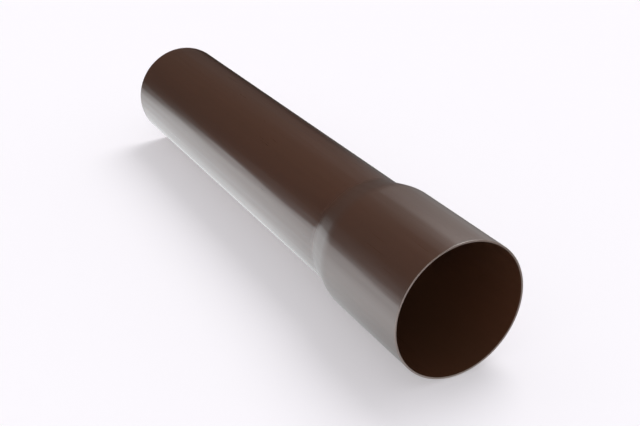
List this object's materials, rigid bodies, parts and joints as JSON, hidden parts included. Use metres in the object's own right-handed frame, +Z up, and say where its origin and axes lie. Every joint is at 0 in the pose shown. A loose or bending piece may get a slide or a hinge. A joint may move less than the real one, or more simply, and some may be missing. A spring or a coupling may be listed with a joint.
{
  "type": "pvc downpipe",
  "caption": "Straight round thin-walled plastic rainwater pipe, one end formed into a plain push-fit socket with a short sloping shoulder, the other end cut square.",
  "frame": {"origin": "middle of the socket's mouth, on the pipe's axis", "axes": "+X out of the socket's mouth along the axis, so the pipe runs to -X; +Z up with the pipe lying down; the pipe is round, so Y and Z are alike"},
  "size_m": [0.53, 0.1126, 0.1125],
  "materials": {
    "brown_pvc": "extruded brown PVC-U, dull satin with a soft sheen"
  },
  "bodies": {
    "root": {"downpipe": "brown_pvc"}
  },
  "joints": []
}
